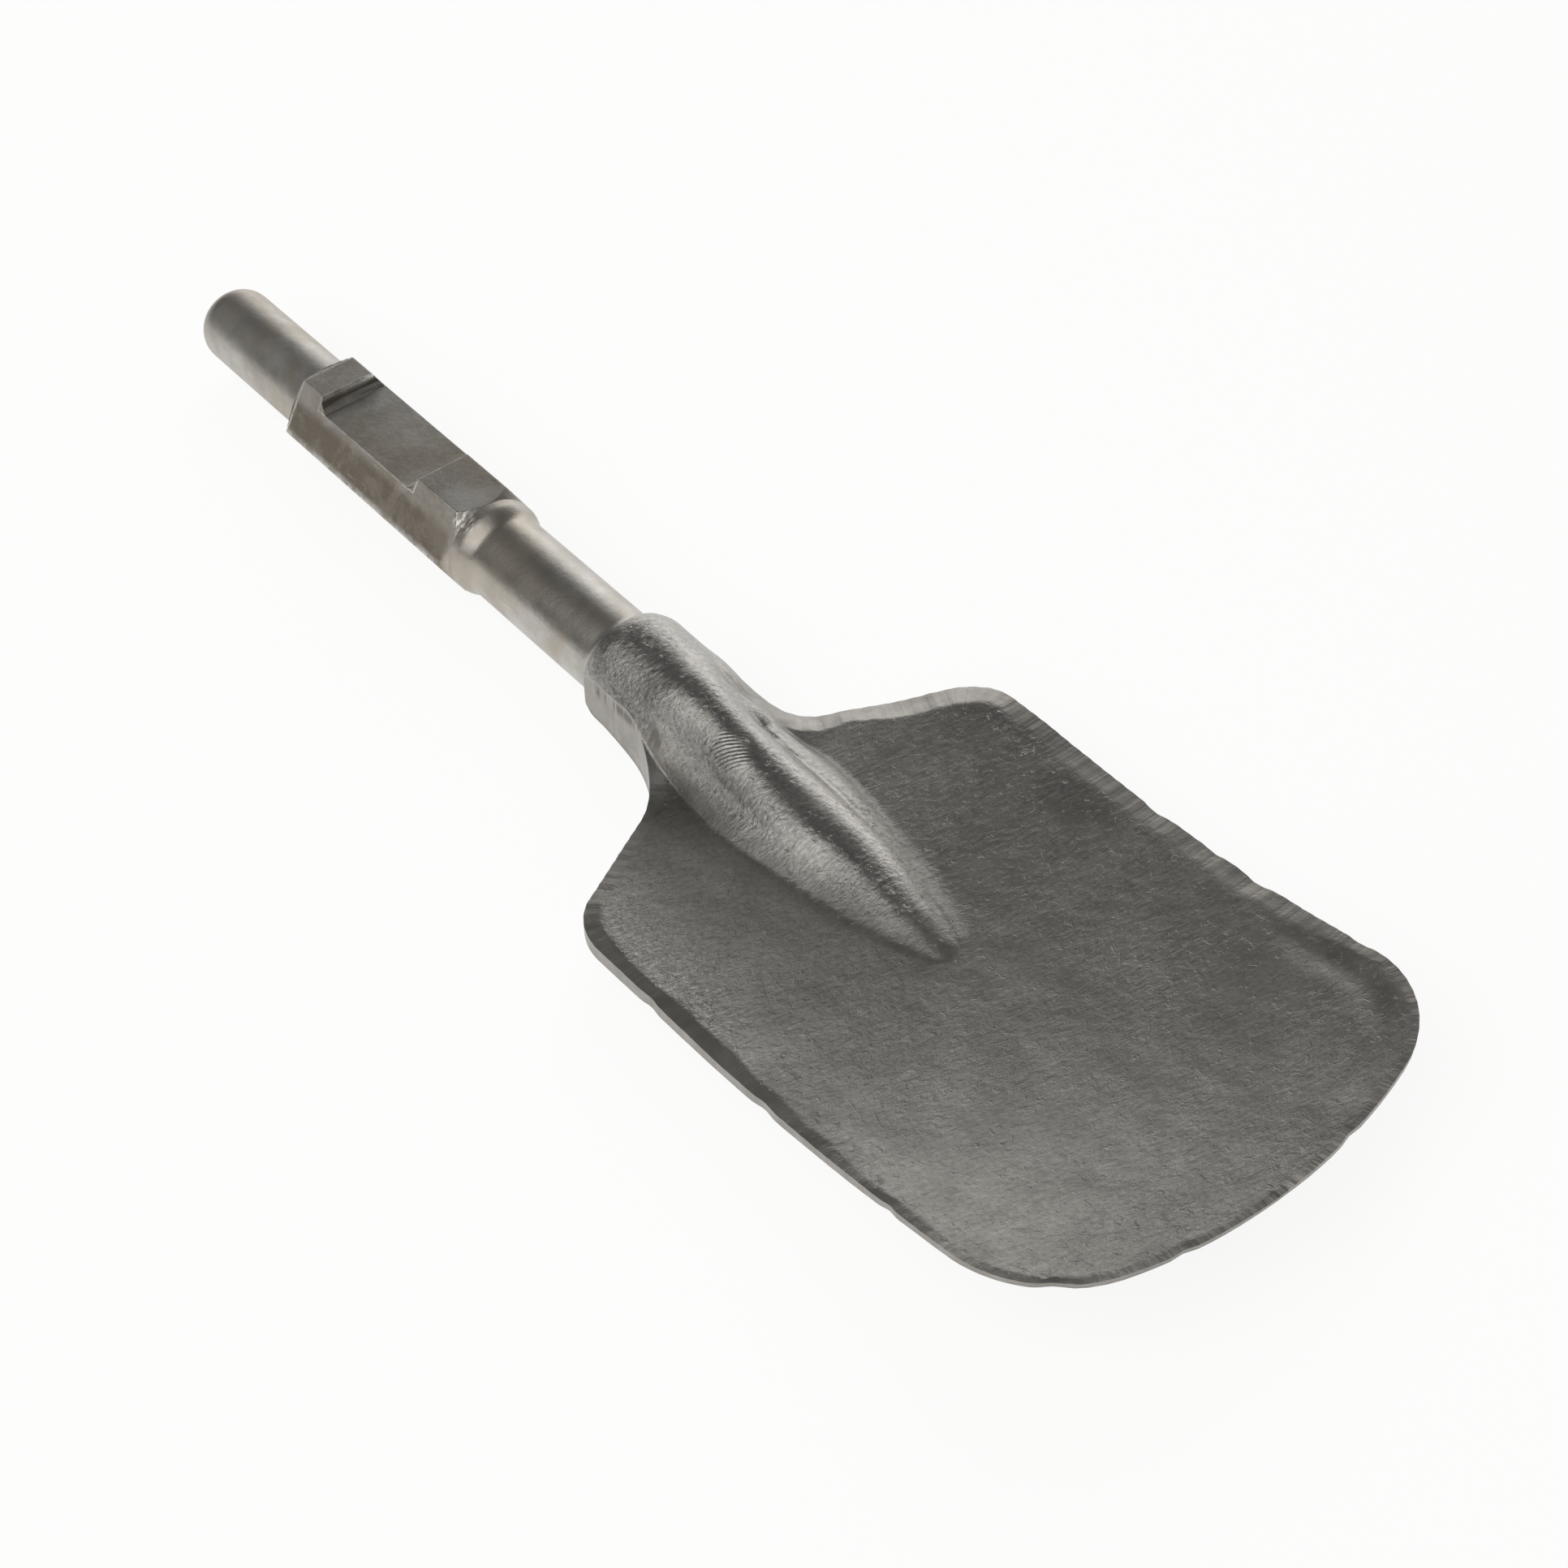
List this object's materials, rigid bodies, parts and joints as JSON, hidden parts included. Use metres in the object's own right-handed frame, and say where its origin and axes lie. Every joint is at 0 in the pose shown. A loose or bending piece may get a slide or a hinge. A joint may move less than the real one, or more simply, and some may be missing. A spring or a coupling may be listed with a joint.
{
  "type": "asphalt spade chisel",
  "caption": "Wide spade chisel for a breaker: hexagonal shank with a round nose, collar and retaining notch, round shaft, ribbed neck and a broad scooped blade.",
  "frame": {"origin": "on the shank axis, where the hexagon's flats begin and the round nose ends", "axes": "+X along the shank axis towards the cutting edge, +Y across the blade, +Z out of the blade's hollow face, square to the hexagon's notched flat"},
  "size_m": [0.455, 0.1404, 0.0349],
  "materials": {
    "forged_steel": "forged and shot-cleaned steel, dull grey-brown, ground along the blade's rim"
  },
  "bodies": {
    "root": {"spade_chisel": "forged_steel"}
  },
  "joints": []
}
